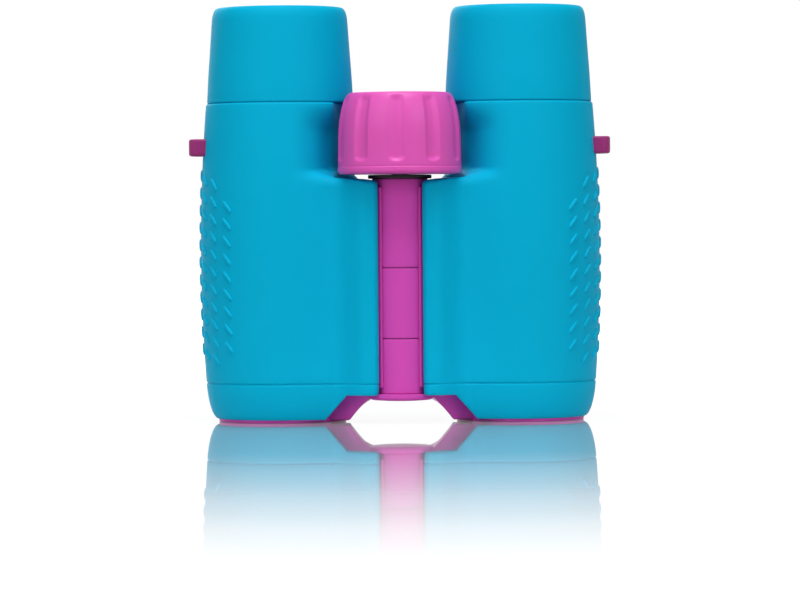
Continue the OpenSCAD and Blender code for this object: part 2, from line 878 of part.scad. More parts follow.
left_chassis();
right_chassis();
left_armour();
right_armour();
left_band();
right_band();
left_eyecup();
right_eyecup();
left_strap_loop();
right_strap_loop();
left_eyepiece_tube();
right_eyepiece_tube();
left_eye_lens();
right_eye_lens();
left_eyepiece_ring();
right_eyepiece_ring();
left_field_lens();
right_field_lens();
left_field_stop();
right_field_stop();
left_prism_housing();
right_prism_housing();
left_roof_prism();
right_roof_prism();
left_half_penta_prism();
right_half_penta_prism();
left_prism_screws();
right_prism_screws();
left_objective_cell();
right_objective_cell();
left_objective_lens();
right_objective_lens();
left_objective_ring();
right_objective_ring();
left_focus_arm();
right_focus_arm();
hinge_tube();
hinge_cap();
hinge_washers();
focus_washer();
focus_knob();
knob_cap();
knob_screw();
focus_spindle();
focus_nut();
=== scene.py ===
"""Dresses a pair of children's binoculars.

Every visible piece is a numpy surface in the frame of the solids.
"""

from types import SimpleNamespace

import bmesh
import bpy
import numpy as np
from mathutils import Matrix, Vector


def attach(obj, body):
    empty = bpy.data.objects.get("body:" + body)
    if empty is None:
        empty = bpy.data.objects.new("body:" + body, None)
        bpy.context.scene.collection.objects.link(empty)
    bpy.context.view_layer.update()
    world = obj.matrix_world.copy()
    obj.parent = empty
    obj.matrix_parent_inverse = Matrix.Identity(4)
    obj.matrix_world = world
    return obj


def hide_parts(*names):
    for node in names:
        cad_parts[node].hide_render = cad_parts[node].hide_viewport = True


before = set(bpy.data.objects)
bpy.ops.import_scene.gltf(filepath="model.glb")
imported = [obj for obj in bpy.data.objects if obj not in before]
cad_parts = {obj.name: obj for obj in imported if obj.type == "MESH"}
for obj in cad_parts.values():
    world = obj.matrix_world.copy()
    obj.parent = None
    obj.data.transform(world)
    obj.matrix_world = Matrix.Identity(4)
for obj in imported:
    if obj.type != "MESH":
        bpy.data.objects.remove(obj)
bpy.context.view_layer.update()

bl_info = {
    "name": "Children's Binoculars",
    "version": (1, 0, 0),
    "blender": (4, 5, 0),
    "location": "3D View > Sidebar > Binoculars",
    "description": "Rubber armour, focus knob, hinge and optics of a pair of children's binoculars",
    "category": "Add Mesh",
}

MM = 0.001
SIDES = (("left", -1), ("right", 1))
WHITE = (1, 1, 1, 1)
SHARP = 38  # angle in degrees above which an edge is shaded sharp

# Lengths in mm that several pieces share
POLE_STEP = 8  # from a barrel's axis to the pole that its sleeves are drawn from
FAR, DEEP = 90, 30  # a distance beyond every piece, and a depth beyond every wing
FILLET = 1.2  # span of the soft joins of the rubber
SEAM_ROUND, SEAM_LEDGE = 0.3, 0.26  # rounding of the edges at a seam, and depth of its ledge
RIM_H, CORE_DROP, CORE_CONE = 3, 0.8, 5  # the hard barrel's front rim, and its cone below the neck
SPIGOT_TOP = 84  # height of the spigot inside an eyecup
SEAT_DEPTH = 1.5  # seat of the cap in the knob
KNUCKLE_BORE = 5.1  # radius inside the knuckles and their discs
HINGE_TOP = 59.1  # height of the top knuckle's end, where the washer lies
JOINTS, JOINT_HALF = (20.45, 37.55), 0.07  # heights of the joints between knuckles, half their gap

# Turned pieces of the optics in mm: radius, height and rounding of each corner
EYEPIECE_TUBE = (
    (9.26, 62, 0.2), (11.96, 58.1, 0.3), (11.96, 91.5, 0.5),
    (10.4, 91.5, 0.2), (10.4, 86.2, 0.05), (9.26, 86.2, 0.05),
)
EYEPIECE_RING = ((8.9, 88.8, 0.1), (10.36, 88.5, 0.1), (10.36, 91.45, 0.25), (9.5, 91.45, 0.3))
OBJECTIVE_CELL = (
    (10.92, 7, 0.15), (12.94, 7, 0.4), (12.94, 30, 0.3), (11.0, 30, 0.3),
    (11.0, 14.9, 0.1), (9.6, 14.9, 0.1), (9.6, 12.4, 0.1), (10.92, 12.4, 0.1),
)
OBJECTIVE_RING = ((9.9, 7.25, 0.2), (10.88, 7.05, 0.1), (10.88, 9.4, 0.1), (9.99, 9.3, 0.1))

# Lenses in mm: radius, height of the lower edge, thickness at the edge and bulge of each face
EYE_LENS = (10.36, 86.4, 2, 0.9)
OBJECTIVE_LENS = (10.89, 9.6, 2.57, 0.9)

# Lamps: name, setting of the power, place and size in m
LAMPS = (
    ("Left light", "left", (-0.7, -0.93, 0.62), 0.6),
    ("Right light", "right", (0.7, -0.93, 0.62), 0.6),
    ("Top light", "top", (0.0, -0.32, 1.02), 0.6),
    ("Back light", "back", (-0.45, 1.1, 0.6), 0.8),
)

# The floor's reflection: twice the distance from the middle in m, and the share that is left
FADE = (
    (0.0, 0.95), (0.16, 0.97), (0.275, 0.96), (0.375, 0.84), (0.466, 0.72), (0.546, 0.56),
    (0.62, 0.43), (0.684, 0.28), (0.744, 0.18), (0.8, 0.09), (0.9, 0.0),
)


def mm(name, value, text):
    """A length property, given in millimetres."""
    kind = {"subtype": "DISTANCE", "unit": "LENGTH", "precision": 5}
    return bpy.props.FloatProperty(name=name, description=text, default=value * MM, **kind)


def paint(name, rgb, text):
    """A colour property in linear light."""
    return bpy.props.FloatVectorProperty(
        name=name, description=text, default=rgb, size=3, min=0, max=1, subtype="COLOR"
    )


def amount(name, value, text):
    """A plain number, such as a lamp's power."""
    return bpy.props.FloatProperty(name=name, description=text, default=value, precision=4)


class BinocularSizes(bpy.types.PropertyGroup):
    """Sizes of the pieces, in the frame of the solids"""

    axis_x: mm("Axis from middle", 29.2, "Each optical axis from the middle")
    axis_y: mm("Axis depth", 4.4, "Depth of the optical axes")
    hinge_y: mm("Hinge depth", -9.1, "Depth of the hinge axis")
    body_h: mm("Body height", 77.6, "Height of the eyecup seam")
    belly_r: mm("Belly radius", 19.73, "Armour at the belly of a barrel")
    belly_z: mm("Belly height", 40, "Height of the belly")
    seam_r: mm("Seam radius", 18.6, "Armour at the lower seam")
    neck_r: mm("Neck radius", 18.2, "Armour at the eyecup seam")
    band_h: mm("Band height", 9.4, "Height of the front band")
    foot_r: mm("Foot radius", 15.75, "Front band at its foot")
    foot_rise: mm("Foot rise", 0.75, "Lower edge of the band")
    seam_gap: mm("Seam gap", 0.22, "Width of the grooves at the seams")
    core_r: mm("Core radius", 17, "Hard barrel under the rubber")
    neck_core_r: mm("Neck core radius", 15.12, "Neck of the hard barrel")
    foot_core_r: mm("Foot core radius", 15.6, "Front rim of the hard barrel")
    bore_r: mm("Bore radius", 13, "Bore through a barrel")
    recess_r: mm("Recess radius", 13.4, "Cap recess in a front rim")
    recess_h: mm("Recess depth", 3.2, "Depth of the cap recess")
    spigot_r: mm("Spigot radius", 14.02, "Spigot inside an eyecup")
    neck_bore_r: mm("Neck bore radius", 12.02, "Bore for an eyepiece")
    bridge_bottom: mm("Bridge bottom", 6.8, "Lower edge of the wings")
    bridge_top: mm("Bridge top", 58.6, "Height of the top of the wings")
    shoulder_rise: mm("Shoulder rise", 5, "Rise of a wing towards its barrel")
    lip_x: mm("Lip from middle", 5.3, "Edge of an armour lip")
    lip_y: mm("Lip in front of hinge", 7.8, "Armour lip before the hinge axis")
    wing_curve: mm("Wing curve", 58, "Radius across a wing")
    web_w: mm("Web width", 9, "Thickness of the web at the hinge")
    hinge_room: mm("Hinge room", 8.3, "Armour's hollow for the hinge")
    knuckle_r: mm("Knuckle radius", 6.8, "Radius of the hinge knuckles")
    flange_r: mm("Flange radius", 7.7, "Outer radius of a hinge flange")
    flange_w: mm("Flange wall", 0.7, "Thickness of a hinge flange")
    strip_x: mm("Hinge strip", 4.6, "Half the strip between the flanges")
    cap_r: mm("Hinge cap radius", 7.9, "Domed cap under the hinge")
    cap_z: mm("Hinge cap bottom", 5.35, "Lower face of the hinge cap")
    hinge_z: mm("Hinge bottom", 7.1, "Height of the lowest knuckle")
    washer_r: mm("Washer radius", 7.7, "Washer under the knob")
    washer_h: mm("Washer thickness", 0.9, "Washer under the knob")
    knob_r: mm("Knob radius", 15.05, "Radius of the focus knob")
    knob_z: mm("Knob bottom", 60.2, "Lower face of the knob")
    knob_h: mm("Knob height", 19.7, "Height of the focus knob")
    knob_cap_r: mm("Knob cap radius", 8.03, "Seat of the cap in the knob")
    flute_w: mm("Flute width", 4.2, "Width of a flute of the knob")
    flute_depth: mm("Flute depth", 0.68, "Depth of a flute of the knob")
    flute_low: mm("Plain band", 3.05, "Plain band under the flutes")
    scoop_r: mm("Scoop radius", 15.85, "Armour's hollow for the knob")
    eyecup_h: mm("Eyecup height", 23.6, "Eyecup above its seam")
    eyecup_r: mm("Eyecup radius", 17.94, "Eyecup at its seam")
    eyecup_top_r: mm("Eyecup top radius", 16.5, "Eyecup under its rim")
    cup_r: mm("Cup radius", 13.4, "Cup inside an eyecup")
    loop_z: mm("Loop height", 67.1, "Height of the strap loops")
    loop_w: mm("Loop width", 11, "Width of a strap loop")
    loop_h: mm("Loop bar height", 4.2, "Bar of a strap loop")
    loop_reach: mm("Loop reach", 22.34, "Outer face of a loop from the axis")
    loop_leg: mm("Loop leg", 1.7, "Legs of a strap loop")
    loop_bar: mm("Loop bar", 1.4, "Outer bar of a strap loop")
    rib_pitch: mm("Rib pitch", 4.25, "Height from rib to rib")
    rib_rise: mm("Rib rise", 0.4, "How far a grip rib stands out")
    rib_w: mm("Rib width", 1.1, "Width of a grip rib")


class BinocularColours(bpy.types.PropertyGroup):
    """Colours of the finishes, in linear light"""

    rubber: paint("Rubber", (0.0, 0.385, 0.605), "Armours, bands and eyecups")
    plastic: paint("Knob plastic", (0.67, 0.078, 0.42), "Focus knob and its cap")
    # painted shade: the strap loops get the pink plastic darkened to about half, standing in for
    # the shade they sit in
    loops: paint("Loop plastic", (0.29, 0.024, 0.155), "Strap loops")
    chassis: paint("Chassis plastic", (0.6, 0.068, 0.43), "Barrels and hinge")
    black: paint("Black plastic", (0.01, 0.01, 0.011), "Washers, tubes, cells and rings")
    glass: paint("Glass", (0.9, 0.97, 0.98), "Lenses and prisms")
    steel: paint("Steel", (0.6, 0.61, 0.63), "Screws, spindle, arms and hinge tube")
    brass: paint("Brass", (0.7, 0.52, 0.22), "Focus nut")


class BinocularStage(bpy.types.PropertyGroup):
    """Camera and light"""

    camera_x: mm("Camera side", -0.17, "Place of the camera to the side")
    camera_y: mm("Camera depth", -995.6, "Place of the camera in depth")
    camera_z: mm("Camera height", 50.5, "Height of the camera")
    aim_z: mm("Aim height", 29.4, "Height at the middle of the picture")
    roll: bpy.props.FloatProperty(
        name="Roll",
        description="Turn of the camera about its view",
        default=np.radians(-0.44),
        subtype="ANGLE",
    )
    focal: amount("Focal length", 183.2, "In millimetres, on a 36 mm sensor")
    sky: amount("Sky", 0.22, "Even light from all round")
    left: amount("Left light", 3.3, "Lamp on the left")
    right: amount("Right light", 3.3, "Lamp on the right")
    back: amount("Back light", 7.0, "Lamp behind")
    top: amount("Top light", 9.2, "Lamp above")


def sizes():
    """All sizes in millimetres, as plain numbers."""
    group = bpy.context.scene.binocular_sizes
    names = BinocularSizes.__annotations__
    return SimpleNamespace(**{name: getattr(group, name) / MM for name in names})


# Shapes


def smooth(t):
    """Cubic step: 0 below 0, 1 above 1, level at both ends."""
    t = np.clip(t, 0, 1)
    return t * t * (3 - 2 * t)


def round_in(t):
    """Quarter circle: how far an edge has drawn in when a share t of its rounding is passed."""
    return 1 - np.sqrt(np.clip(1 - np.clip(t, 0, 1) ** 2, 0, 1))


def soft_max(a, b, k):
    """The greater of two values, with the change from one to the other rounded over the span k."""
    h = np.clip(0.5 + 0.5 * (a - b) / k, 0, 1)
    return b + (a - b) * h + k * h * (1 - h)


def soft_min(a, b, k):
    """The smaller of two values, rounded over the span k."""
    return -soft_max(-a, -b, k)


def rounded(rows, steps=6, closed=True):
    """Outline from rows of two coordinates and a length: each corner is replaced by a parabola that
    begins and ends the given length from it, at most half way along an edge."""
    rows = np.array(rows, float)
    p, size = rows[:, :2], rows[:, 2:]

    def ends(towards):
        span = np.maximum(np.linalg.norm(towards, axis=1, keepdims=True), 1e-9)
        return p + towards * np.minimum(size / span, 0.5)

    a, b = ends(np.roll(p, 1, 0) - p), ends(np.roll(p, -1, 0) - p)
    if not closed:
        a[0], b[0], a[-1], b[-1] = p[0], p[0], p[-1], p[-1]
    t = np.linspace(0, 1, steps)[None, :, None]
    curve = (1 - t) ** 2 * a[:, None] + 2 * t * (1 - t) * p[:, None] + t * t * b[:, None]
    return curve.reshape(-1, 2)


def ring(r0, r1, z0, z1, outer, inner):
    """Section of a ring between two radii and two heights, its outer and inner edges rounded."""
    return rounded([[r0, z0, inner], [r1, z0, outer], [r1, z1, outer], [r0, z1, inner]])


def carried(profile, centre, angles):
    """Profile of radius and height carried round a vertical axis, with a row for each angle."""
    a = angles[:, None]
    r, z = profile[None, :, 0], profile[None, :, 1]
    x, y = centre[0] + r * np.cos(a), centre[1] + r * np.sin(a)
    return np.stack([x, y, z + 0 * x], -1)


# A sheet is a grid of points, and whether its rows and its columns run round and close.


def turned(profile, centre, segments=96, closed=True):
    """Sheet of a profile carried all the way round a vertical axis."""
    angles = np.linspace(0, 2 * np.pi, segments, endpoint=False)
    return carried(profile, centre, angles), True, closed


def ended(rows):
    """Sheet of closed sections, with a row added at each end that shrinks to the middle."""
    first, last = rows[:1].mean(1, keepdims=True), rows[-1:].mean(1, keepdims=True)
    return np.concatenate([first + 0 * rows[:1], rows, last + 0 * rows[-1:]]), False, True


def arc(profile, centre, start, end, segments):
    """Sheet of a closed profile carried along an arc in degrees."""
    return ended(carried(profile, centre, np.radians(np.linspace(start, end, segments))))


def plan(s):
    """Places in plan for the right barrel: its axis, the hinge axis, a pole between them, and the
    direction from the pole to the hinge in degrees."""
    barrel, hinge = np.array([s.axis_x, s.axis_y]), np.array([0, s.hinge_y])
    towards = (hinge - barrel) / np.linalg.norm(hinge - barrel)
    facing = np.degrees(np.arctan2(towards[1], towards[0])) % 360
    return barrel, hinge, barrel + POLE_STEP * towards, facing


def to_circle(pole, e, centre, r, near=False):
    """Distance along the directions e from the pole to a circle: where the ray leaves it, or first
    meets it; endless where it misses."""
    c = centre - pole
    along = e @ c
    root = along**2 - c @ c + r**2
    reach = along + np.sqrt(np.maximum(root, 0)) * (-1 if near else 1)
    return np.where((root >= 0) & (reach > 0), reach, np.inf)


def to_plane(pole, across, x, least, missed):
    """Distance from the pole to the upright plane at x, for directions whose part along x is given;
    a set value for those that turn away from the plane."""
    return np.where(across < -least, (x - pole[0]) / np.minimum(across, -least), missed)


def barrel_side(s, z):
    """Radius of the armour at a height: a parabola from the belly down to the seam, and one up to
    the neck."""
    up = (z - s.belly_z) / (s.body_h - s.belly_z)
    down = (s.belly_z - z) / (s.belly_z - s.band_h)
    neck, seam = s.belly_r - s.neck_r, s.belly_r - s.seam_r
    return s.belly_r - np.where(z > s.belly_z, neck * up**2, seam * down**2)


def band_side(s, z):
    """Radius of the front band at a height: a slight lean and an elliptic rounding in towards the
    foot."""
    lean = 0.5
    t = (s.band_h - z) / (s.band_h - s.foot_rise)
    return s.seam_r - lean * t - (s.seam_r - lean - s.foot_r) * round_in(t)


def core_side(s, z):
    """Radius of the hard barrel under the rubber, straight between its steps."""
    top = s.bridge_top - CORE_DROP
    heights = [0, RIM_H, s.band_h, top - CORE_CONE, top, s.body_h]
    return np.interp(z, heights, np.repeat([s.foot_core_r, s.core_r, s.neck_core_r], 2))


def directions(s):
    """Directions from the pole round a sleeve, in degrees, closest together at the lips, and which
    of them face the web."""
    facing = plan(s)[3]
    front, back = facing + 14.2, facing + 360 - 16  # inner ends of the wing's two faces
    spans = (
        (front, front + 5, 0.25), (front + 5, front + 10, 0.1), (front + 10, front + 44, 0.6),
        (front + 44, front + 82, 1.0), (front + 82, back - 40, 2.0), (back - 40, back, 0.5),
    )
    web = [back, back + 0.02], np.linspace(back + 1, front + 359, 14), [front + 359.98]
    a = np.concatenate([*(np.arange(*span) for span in spans), *web])
    return a, a > back + 0.01


def rays(s):
    """Directions from the pole as unit vectors, one row for each."""
    turn = np.radians(directions(s)[0])
    return np.stack([np.cos(turn), np.sin(turn)], -1)[:, None]


def wing_reach(s):
    """Distance from the pole to the outside of a wing in each direction: a shallow curve, a valley
    and a raised lip in front, a slanted back, the flat end of the lip and the hollow round the
    hinge. One row for each direction."""
    nose, nose_drop = 1.5, 2.0  # rounding of the lip's edge
    lip_start, lip_run = 17.2, 8.8  # where the valley begins to rise to the lip, and over what
    sunk, far_curve = 0.3, 24  # under the barrel's face, and the curve beyond its axis
    back_slope = 0.983
    _, hinge, pole, _ = plan(s)
    turn = np.radians(directions(s)[0] % 360)
    e = np.stack([np.cos(turn), np.sin(turn)], -1)
    x = np.linspace(s.lip_x - nose, s.axis_x + 5, 260)
    y = s.axis_y - s.seam_r + sunk + (s.axis_x - x) ** 2 / (2 * s.wing_curve)
    y = y + np.maximum(x - s.axis_x, 0) ** 2 / far_curve
    lip = smooth((lip_start - x) / lip_run)
    y = y * (1 - lip) + (s.hinge_y - s.lip_y) * lip
    y = y + nose_drop * round_in((s.lip_x + nose - x) / nose)
    bx = np.linspace(s.axis_x - s.seam_r + sunk, s.lip_x - nose, 60)
    by = s.axis_y + (bx - bx[0]) * back_slope
    px, py = np.concatenate([bx, x]) - pole[0], np.concatenate([by, y]) - pole[1]
    around = np.maximum.accumulate(np.arctan2(py, px) % (2 * np.pi))
    reach = np.interp(turn, around, np.hypot(px, py), left=0, right=0)
    reach = np.minimum(reach, to_plane(pole, e[:, 0], s.lip_x, 0.05, np.inf))
    return np.minimum(reach, to_circle(pole, e, hinge, s.hinge_room, near=True))[:, None]


def sleeve(s, z, radius, back, limit, edge, notch):
    """Closed sleeve of rubber round the right barrel. At each height its outside is the barrel's
    circle plus what stands out of the wing when it is set back, cut by a limit and by the notch for
    the web, and drawn in at its edges; its inside is the core's circle."""
    sunk, lap, wall = 0.6, 0.1, 0.3  # edges into the core, inside off the core, least thickness
    barrel, _, pole, _ = plan(s)
    e = rays(s)
    gap = directions(s)[1][:, None]
    circle, core = (to_circle(pole, e, barrel, r) for r in (radius, core_side(s, z)))
    wing = soft_max(wing_reach(s) - circle, -DEEP, 0.1)
    out = circle + soft_max(wing - back, 0, FILLET)
    out = np.maximum(soft_min(out, limit, FILLET) - edge[None], core - sunk)
    out = np.where(gap & notch, core - sunk, out)
    inner = np.minimum(core + lap, out - wall)
    r = np.concatenate([out, inner[:, ::-1]], 1)
    x, y = pole[0] + r * e[..., 0], pole[1] + r * e[..., 1]
    return np.stack([x, y, np.concatenate([z, z[:, ::-1]], 1)], -1), True, True


def hollowed(s, z):
    """Radius of the armour round the barrel axis, with a soft hollow beside the knob: it falls to
    little more than the core's as the azimuth turns from the front to the hinge and rises again
    behind it. The hollow fades out below the knob and under the eyecup."""
    start, run = 8, 44  # azimuth in degrees where the hollow begins, and how long it takes to fall
    cover = 0.4  # rubber left over the core
    rise_run, fade_from, fade_run = 3.2, 7, 6.5  # above the wing, and under the eyecup's seam
    barrel, _, pole, facing = plan(s)
    e = rays(s)
    full = barrel_side(s, z)
    begun = smooth((z - s.bridge_top) / rise_run)
    faded = smooth((z - s.body_h + fade_from) / fade_run)
    deep = begun * (1 - faded) * (full - s.neck_core_r - cover)
    end, radius = 2 * (270 - facing) - start, full
    for _ in range(8):  # the azimuth depends on the radius, so a few rounds settle both
        r = to_circle(pole, e, barrel, radius)
        x, y = pole[0] + r * e[..., 0] - barrel[0], pole[1] + r * e[..., 1] - barrel[1]
        azimuth = np.degrees(np.arctan2(-x, -y))
        radius = full - deep * smooth((azimuth - start) / run) * smooth((end - azimuth) / run)
    return radius


def armour_sheet(s):
    """Armour of the right barrel: the belly's circle and the wing, whose top edge is a quarter
    circle that rises towards the barrel, with a fillet where they meet, a hollow for the knob and a
    low step at the upper edge that closes the seam."""
    low, high, rim = s.band_h + s.seam_gap, s.body_h, SEAM_ROUND
    top = s.bridge_top + 0.1
    notch = 57.24  # height up to which the sleeve is open for the web
    steep = 0.995  # share of the top edge's rounding after which it falls straight back
    lip_x, wing_run = 8, 21  # the top edge rises from here over this length to the barrel's axis
    lip_round, more_round = 1.3, 3.8  # its rounding at the lip, and what is added at the barrel
    scoop_from, scoop_run = 0.2, 0.6  # above the wing, where the hollow for the knob begins
    quarter = np.linspace(0, np.pi / 2, 5)
    rows = np.concatenate(
        [
            low + rim * (1 - np.cos(quarter)),
            np.arange(low + 1.6, top - 5.6, 1.6),
            np.arange(top - 5.5, notch - 0.09, 0.3),
            [notch - 0.03, notch + 0.03],
            np.arange(notch + 0.21, top + 2.5, 0.2),
            np.arange(top + 2.6, high - 0.8, 1.0),
            high - rim + rim * np.sin(quarter),
            [high, high + s.seam_gap - 0.04],
        ]
    )
    edge = rim * (round_in(1 - (rows - low) / rim) + round_in(1 - (high - rows) / rim))
    edge[-2:] = SEAM_LEDGE
    _, hinge, pole, _ = plan(s)
    e = rays(s)
    out_x = pole[0] + wing_reach(s) * e[..., 0]
    q = np.clip((out_x - lip_x) / wing_run, 0, 1)
    begin, run, end, end_run = 40, 18, top + 1.5, 14  # heights where the rise comes and goes
    rise, fall = smooth((rows - begin) / run), 1 - smooth((rows - end) / end_run)
    z = rows[None] + s.shoulder_rise * q**1.5 * rise * fall
    corner = lip_round + more_round * q
    t = np.maximum((rows[None] - top) / corner + 1, 0)
    back = corner * (round_in(np.minimum(t, steep)) + 10 * np.maximum(t - steep, 0))
    knob = np.minimum(to_circle(pole, e, hinge, s.scoop_r, near=True), FAR)
    scoop = knob + DEEP * (1 - smooth((z - s.bridge_top - scoop_from) / scoop_run))
    return sleeve(s, z, hollowed(s, z), back, scoop, edge, z < notch)


def band_sheet(s):
    """Front band of the right barrel: a rounded foot, cut on a slant towards the hinge, with the
    wing's lower strip above the cut and a low step at the upper edge that closes the seam."""
    step, rim, wing_round = s.bridge_bottom, SEAM_ROUND, 0.6
    cut_x, cut_run = 19.1, 6  # the slanted cut: its place at the floor, and how far it leans
    level = 0.02  # directions that point inwards less than this miss the cut
    rows = np.concatenate(
        [
            s.foot_rise + (step - 0.02 - s.foot_rise) * np.linspace(0, 1, 26) ** 2,
            step + wing_round * (1 - np.cos(np.linspace(0, np.pi / 2, 7))),
            np.linspace(step + 0.9, s.band_h - rim, 4)[:-1],
            s.band_h - rim + rim * np.sin(np.linspace(0, np.pi / 2, 5)),
            [s.band_h, s.band_h + s.seam_gap],
        ]
    )
    edge = rim * round_in(1 - (s.band_h - rows) / rim)
    edge[-2:] = SEAM_LEDGE
    pole = plan(s)[2]
    e = rays(s)
    z = rows[None] + 0 * e[..., 0]
    foot = z < step - 0.01
    cut = to_plane(pole, e[..., 0], cut_x - cut_run * z / step, level, FAR)
    limit = np.where(foot, cut, FAR)
    radius = band_side(s, np.minimum(z, s.band_h))
    over = smooth((wing_reach(s) - to_plane(pole, e[..., 0], cut_x - cut_run, level, FAR)) / 2)
    under = wing_round * over * round_in(1 - (z - step) / wing_round)
    back = s.seam_r - radius + np.where(foot, 0, under)
    return sleeve(s, z, radius, back, limit, edge, z > 0)


def rib_sheet(s):
    """Grip ribs of the right barrel: grains half sunk in the armour, each an ellipse that swells
    along a slanted line; the columns stand at even angles and each one nearer the front is set a
    little lower."""
    counts, skipped = (9, 11, 11, 11, 11, 11, 9), np.array([1, 0, 0, 0, 0, 0, 1])
    lowest, climb = 14.3, 1.15  # height of the first rib, and rise from column to column
    first, spacing = 40.5, 15  # degrees from the front
    half, slope = 1.95, (0.68, 0.73)  # half a rib's length, and its direction
    column = np.repeat(np.arange(len(counts)), counts)
    row = np.concatenate([np.arange(n) for n in counts]) + skipped[column]
    z0 = lowest + climb * column + s.rib_pitch * row
    angle0 = np.radians(first + spacing * column)
    t = np.sin(np.linspace(-np.pi / 2, np.pi / 2, 12))[None, :, None]
    around = np.linspace(0, 2 * np.pi, 12, endpoint=False)[None, None, :]
    swell = np.sqrt(np.clip(1 - t**4, 0, 1))
    wide = 0.5 * s.rib_w * swell * np.cos(around)
    tall = s.rib_rise * swell * np.sin(around)
    u, v = half * t * slope[0] - wide * slope[1], half * t * slope[1] + wide * slope[0]
    z = z0[:, None, None] + v
    r = barrel_side(s, z) + tall
    turn = angle0[:, None, None] + u / s.belly_r
    x, y = s.axis_x + r * np.sin(turn), s.axis_y - r * np.cos(turn)
    return np.stack([x, y, z], -1), False, True


def knob_sheet(s):
    """Focus knob: a lathe form whose side leans in and rounds over to the top, with flutes, each a
    smooth hollow with a round lower end."""
    flutes, turn = 10, -93  # number of flutes, and degrees to the first one
    edge_r, lean, shoulder = 0.9, 0.3, 3  # lower edge, lean of the side, rounding at the top
    line_h, line_w, line_depth = 1.8, 0.15, 0.12  # fine line round the plain band
    step_h, step_run, step = 1.7, 0.3, 0.07  # low step of the side at that line
    fade_from, fade_run = 2.4, 2.2  # under the top, where the flutes run out
    wide, steep, plain_r = 2.6, 1.15, 11.5  # powers of a flute's section, radius without flutes
    seat, top = s.knob_cap_r, s.knob_z + s.knob_h
    over = np.linspace(0, np.pi / 2, 26)
    start = 0.44 * s.knob_h  # where the side begins to round over
    marks, counts = (edge_r, line_h - 0.45, line_h + 0.45, start), (4, 13, 19)
    low = [np.linspace(a, b, n)[:-1] for a, b, n in zip(marks, marks[1:], counts)]
    h = np.concatenate([*low, start + (s.knob_h - start) * np.sin(over)])
    line = line_depth * np.exp(-(((h - line_h) / line_w) ** 2))
    side = s.knob_r - step * smooth((h - step_h) / step_run) - line - lean * h / s.knob_h
    side[-len(over) :] -= shoulder * (1 - np.cos(over))
    corner = np.linspace(-np.pi / 2, 0, 7)[:-1]
    low_r = s.knob_r - edge_r + edge_r * np.cos(corner)
    low_z = s.knob_z + edge_r + edge_r * np.sin(corner)
    seat_r = [10, 9, seat + 0.25, seat + 0.06, seat, seat, 0]
    seat_z = top - np.array([0, 0, 0, 0.06, 0.3, SEAT_DEPTH, SEAT_DEPTH])
    r = np.concatenate([[0, 6, 12], low_r, side, seat_r])
    z = np.concatenate([[s.knob_z] * 3, low_z, s.knob_z + h, seat_z])
    a = np.linspace(0, 2 * np.pi, 480, endpoint=False)[:, None]
    half = np.pi / flutes
    off = (a - np.radians(turn) + half) % (2 * half) - half
    drop = s.flute_w / 2 * np.maximum(s.knob_z + s.flute_low + 1 - z, 0)[None]
    rho = np.hypot(off * s.knob_r, drop) / (s.flute_w / 2)
    fade = (1 - smooth((z[None] - top + fade_from) / fade_run)) * (r[None] > plain_r)
    flute = s.flute_depth * np.clip(1 - rho**wide, 0, 1) ** steep * fade
    x, y = (r[None] - flute) * np.cos(a), (r[None] - flute) * np.sin(a)
    return np.stack([x, s.hinge_y + y, z[None] + 0 * x], -1), True, False


def loop_sheet(s):
    """Strap loop of the right barrel: a rounded upright section carried along a squared path with
    round corners."""
    bend, edge, half = 1.5, 0.7, s.loop_h / 2
    inner, outer = s.neck_core_r + 0.4, s.loop_reach - s.loop_bar / 2
    side = s.loop_w / 2 - s.loop_leg / 2
    corners = [[inner, -side, 0], [outer, -side, bend], [outer, side, bend], [inner, side, 0]]
    path = rounded(corners, 14, closed=False)
    path = path[np.r_[True, np.linalg.norm(np.diff(path, axis=0), axis=1) > 1e-6]]
    along = np.gradient(path, axis=0)
    along /= np.linalg.norm(along, axis=1, keepdims=True)
    w = np.interp(np.abs(along[:, 0]), [0, 1], [s.loop_bar, s.loop_leg]) / 2
    section = rounded([[-1, -half, edge], [1, -half, edge], [1, half, edge], [-1, half, edge]], 7)
    off = section[None, :, 0] * w[:, None]
    x = s.axis_x + path[:, None, 0] + off * along[:, None, 1]
    y = s.axis_y + path[:, None, 1] - off * along[:, None, 0]
    return ended(np.stack([x, y, s.loop_z + section[None, :, 1] + 0 * x], -1))


def web_sheet(s, end, low, high, inside=0.0, share=1):
    """Length of web along the line from the hinge to the barrel, from the knuckles on: an upright
    section with soft edges whose lower edge is level, or follows a curve that runs straight back.
    With a distance inside it is only the part on one side beyond that distance."""
    part, soft = 0.08, 0.5  # share of the unit section that is rounded, and the rounding's height
    start = s.knuckle_r + 0.15
    barrel, hinge, _, _ = plan(s)
    along = (barrel - hinge) / np.linalg.norm(barrel - hinge)
    half = s.web_w / 2
    unit = rounded([[0, 0, part], [1, 0, part], [1, 1, part], [0, 1, part]])
    begin = inside if inside else -half
    across = (begin + (half - begin) * unit[:, 0]) * share
    t = np.linspace(0, 1, 24)[:, None]
    d = np.sqrt(start**2 - across[None] ** 2) * (1 - t) + end * t
    back = (half - across[None]) * along[1] / along[0]
    bottom = low(d + back) if callable(low) else low + 0 * d
    up = unit[None, :, 1]
    z = np.where(up < 0.5, bottom + up / part * soft, high - (1 - up) / part * soft)
    x = hinge[0] + d * along[0] - across[None] * along[1]
    y = hinge[1] + d * along[1] + across[None] * along[0]
    return ended(np.stack([x, y, z], -1))


def lens_sheet(centre, r, low, edge, bulge):
    """Lens: two bulging faces, each a parabola across, and a straight edge."""
    t = np.sin(np.linspace(0, np.pi / 2, 20))
    face = bulge * (1 - t**2)
    radius = np.concatenate([r * t, [r], r * t[::-1]])
    z = np.concatenate([low - face, [low + edge / 2], (low + edge + face)[::-1]])
    return turned(np.stack([radius, z], -1), centre, closed=False)


# Meshes


